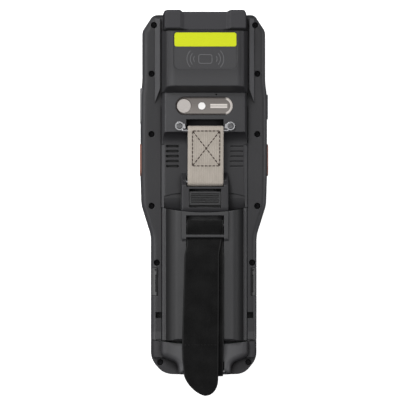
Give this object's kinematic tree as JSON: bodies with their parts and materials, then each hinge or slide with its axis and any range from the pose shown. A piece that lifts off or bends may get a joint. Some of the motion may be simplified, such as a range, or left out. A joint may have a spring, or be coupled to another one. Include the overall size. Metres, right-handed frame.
{
  "type": "portable barcode data terminal",
  "caption": "Rugged handheld barcode terminal with keypad, touch display, raised scan head, camera, latched battery pack and a hand strap on its back.",
  "frame": {"origin": "on the plane of the front rim that the terminal lies on, midway between its sides; 100.6 mm from the casing's scanner end", "axes": "+Z out of the back, +Y towards the scanner end, +X to the right seen from the back"},
  "size_m": [0.0732, 0.2204, 0.0359],
  "materials": {
    "casing": "fine spark-eroded texture",
    "end_rubber": "smooth satin elastomer",
    "seal_rubber": "matt",
    "pack_plastic": "fine texture, slightly glossier",
    "label": "matt yellow film",
    "camera_plate": "satin, taupe lacquer",
    "lens": "clear over a pale reflection",
    "flash": "frosted",
    "display_front": "black backed",
    "scan_glass": "dark red filter",
    "dark_steel": "blackened",
    "pin_steel": "plain",
    "spring_steel": "plain wire",
    "grey_webbing": "woven webbing",
    "black_strap": "hook and loop strap",
    "scan_key": "dull orange",
    "side_key": "mid grey",
    "keycap": "dark grey",
    "latch_plastic": "ribbed",
    "module_black": "black",
    "circuit": "green solder resist",
    "copper_foil": "thin foil",
    "contact_metal": "gilt contacts in black blocks",
    "cell_wrap": "foil pouch"
  },
  "bodies": {
    "terminal": {"battery_cells": "cell_wrap", "battery_contacts": "contact_metal", "battery_lid": "pack_plastic", "battery_pack": "pack_plastic", "bottom_cap": "end_rubber", "bottom_strap_bar": "pin_steel", "camera_bezel": "camera_plate", "camera_lens": "lens", "camera_module": "module_black", "contactless_antenna": "copper_foil", "display_glass": "display_front", "display_module": "module_black", "dock_connector": "contact_metal", "flash_lens": "flash", "front_housing": "casing", "hand_strap": "black_strap", "head_end_cap": "end_rubber", "housing_gasket": "seal_rubber", "housing_screws": "dark_steel", "keypad_mat": "seal_rubber", "label_plate": "label", "latch_spring": "spring_steel", "main_board": "circuit", "rear_housing": "casing", "scan_engine": "module_black", "scan_head_cover": "casing", "scan_window": "scan_glass", "side_contacts": "contact_metal", "speaker": "module_black", "strap_bar": "dark_steel", "strap_bar_screws": "dark_steel", "strap_pin": "pin_steel", "webbing_link": "grey_webbing", "webbing_pin": "pin_steel"},
    "key_0": {"key_0": "keycap"},
    "key_1": {"key_1": "keycap"},
    "key_2": {"key_2": "keycap"},
    "key_3": {"key_3": "keycap"},
    "key_4": {"key_4": "keycap"},
    "key_5": {"key_5": "keycap"},
    "key_6": {"key_6": "keycap"},
    "key_7": {"key_7": "keycap"},
    "key_8": {"key_8": "keycap"},
    "key_9": {"key_9": "keycap"},
    "key_star": {"key_star": "keycap"},
    "key_hash": {"key_hash": "keycap"},
    "navigation_key": {"navigation_key": "keycap"},
    "enter_key": {"enter_key": "keycap"},
    "left_soft_key": {"left_soft_key": "keycap"},
    "right_soft_key": {"right_soft_key": "keycap"},
    "power_key": {"power_key": "keycap"},
    "delete_key": {"delete_key": "keycap"},
    "front_scan_key": {"front_scan_key": "scan_key"},
    "left_scan_key": {"left_scan_key": "scan_key"},
    "right_scan_key": {"right_scan_key": "scan_key"},
    "left_side_key": {"left_side_key": "side_key"},
    "right_side_key": {"right_side_key": "side_key"},
    "battery_latch": {"battery_latch": "latch_plastic"},
    "left_port_cover": {"left_port_cover": "seal_rubber"},
    "right_port_cover": {"right_port_cover": "seal_rubber"}
  },
  "joints": [
    {"name": "key_0_press", "type": "slide", "parent": "terminal", "child": "key_0", "axis": [0, 0, 1], "range_m": [0, 0.0005], "stiffness_N_per_m": 400, "springref_m": -0.0005},
    {"name": "key_1_press", "type": "slide", "parent": "terminal", "child": "key_1", "axis": [0, 0, 1], "range_m": [0, 0.0005], "stiffness_N_per_m": 400, "springref_m": -0.0005},
    {"name": "key_2_press", "type": "slide", "parent": "terminal", "child": "key_2", "axis": [0, 0, 1], "range_m": [0, 0.0005], "stiffness_N_per_m": 400, "springref_m": -0.0005},
    {"name": "key_3_press", "type": "slide", "parent": "terminal", "child": "key_3", "axis": [0, 0, 1], "range_m": [0, 0.0005], "stiffness_N_per_m": 400, "springref_m": -0.0005},
    {"name": "key_4_press", "type": "slide", "parent": "terminal", "child": "key_4", "axis": [0, 0, 1], "range_m": [0, 0.0005], "stiffness_N_per_m": 400, "springref_m": -0.0005},
    {"name": "key_5_press", "type": "slide", "parent": "terminal", "child": "key_5", "axis": [0, 0, 1], "range_m": [0, 0.0005], "stiffness_N_per_m": 400, "springref_m": -0.0005},
    {"name": "key_6_press", "type": "slide", "parent": "terminal", "child": "key_6", "axis": [0, 0, 1], "range_m": [0, 0.0005], "stiffness_N_per_m": 400, "springref_m": -0.0005},
    {"name": "key_7_press", "type": "slide", "parent": "terminal", "child": "key_7", "axis": [0, 0, 1], "range_m": [0, 0.0005], "stiffness_N_per_m": 400, "springref_m": -0.0005},
    {"name": "key_8_press", "type": "slide", "parent": "terminal", "child": "key_8", "axis": [0, 0, 1], "range_m": [0, 0.0005], "stiffness_N_per_m": 400, "springref_m": -0.0005},
    {"name": "key_9_press", "type": "slide", "parent": "terminal", "child": "key_9", "axis": [0, 0, 1], "range_m": [0, 0.0005], "stiffness_N_per_m": 400, "springref_m": -0.0005},
    {"name": "key_star_press", "type": "slide", "parent": "terminal", "child": "key_star", "axis": [0, 0, 1], "range_m": [0, 0.0005], "stiffness_N_per_m": 400, "springref_m": -0.0005},
    {"name": "key_hash_press", "type": "slide", "parent": "terminal", "child": "key_hash", "axis": [0, 0, 1], "range_m": [0, 0.0005], "stiffness_N_per_m": 400, "springref_m": -0.0005},
    {"name": "navigation_key_press", "type": "slide", "parent": "terminal", "child": "navigation_key", "axis": [0, 0, 1], "range_m": [0, 0.0005], "stiffness_N_per_m": 400, "springref_m": -0.0005},
    {"name": "enter_key_press", "type": "slide", "parent": "terminal", "child": "enter_key", "axis": [0, 0, 1], "range_m": [0, 0.0005], "stiffness_N_per_m": 400, "springref_m": -0.0005},
    {"name": "left_soft_key_press", "type": "slide", "parent": "terminal", "child": "left_soft_key", "axis": [0, 0, 1], "range_m": [0, 0.0005], "stiffness_N_per_m": 400, "springref_m": -0.0005},
    {"name": "right_soft_key_press", "type": "slide", "parent": "terminal", "child": "right_soft_key", "axis": [0, 0, 1], "range_m": [0, 0.0005], "stiffness_N_per_m": 400, "springref_m": -0.0005},
    {"name": "power_key_press", "type": "slide", "parent": "terminal", "child": "power_key", "axis": [0, 0, 1], "range_m": [0, 0.0005], "stiffness_N_per_m": 400, "springref_m": -0.0005},
    {"name": "delete_key_press", "type": "slide", "parent": "terminal", "child": "delete_key", "axis": [0, 0, 1], "range_m": [0, 0.0005], "stiffness_N_per_m": 400, "springref_m": -0.0005},
    {"name": "front_scan_key_press", "type": "slide", "parent": "terminal", "child": "front_scan_key", "axis": [0, 0, 1], "range_m": [0, 0.0005], "stiffness_N_per_m": 400, "springref_m": -0.0005},
    {"name": "left_scan_key_press", "type": "slide", "parent": "terminal", "child": "left_scan_key", "axis": [1, 0, 0], "range_m": [0, 0.0008], "stiffness_N_per_m": 400, "springref_m": -0.0005},
    {"name": "right_scan_key_press", "type": "slide", "parent": "terminal", "child": "right_scan_key", "axis": [-1, 0, 0], "range_m": [0, 0.0008], "stiffness_N_per_m": 400, "springref_m": -0.0005},
    {"name": "left_side_key_press", "type": "slide", "parent": "terminal", "child": "left_side_key", "axis": [1, 0, 0], "range_m": [0, 0.0005], "stiffness_N_per_m": 400, "springref_m": -0.0005},
    {"name": "right_side_key_press", "type": "slide", "parent": "terminal", "child": "right_side_key", "axis": [-1, 0, 0], "range_m": [0, 0.0005], "stiffness_N_per_m": 400, "springref_m": -0.0005},
    {"name": "battery_latch_slide", "type": "slide", "parent": "terminal", "child": "battery_latch", "axis": [0, 1, 0], "range_m": [0, 0.0014], "stiffness_N_per_m": 400, "springref_m": -0.001, "deforming": ["latch_spring"]},
    {"name": "left_port_cover_hinge", "type": "hinge", "parent": "terminal", "child": "left_port_cover", "pos_m": [-0.0289, -0.0518, 0.0136], "axis": [0, -1, 0], "range_deg": [0, 90]},
    {"name": "right_port_cover_hinge", "type": "hinge", "parent": "terminal", "child": "right_port_cover", "pos_m": [0.0289, -0.0518, 0.0136], "axis": [0, 1, 0], "range_deg": [0, 90]}
  ]
}
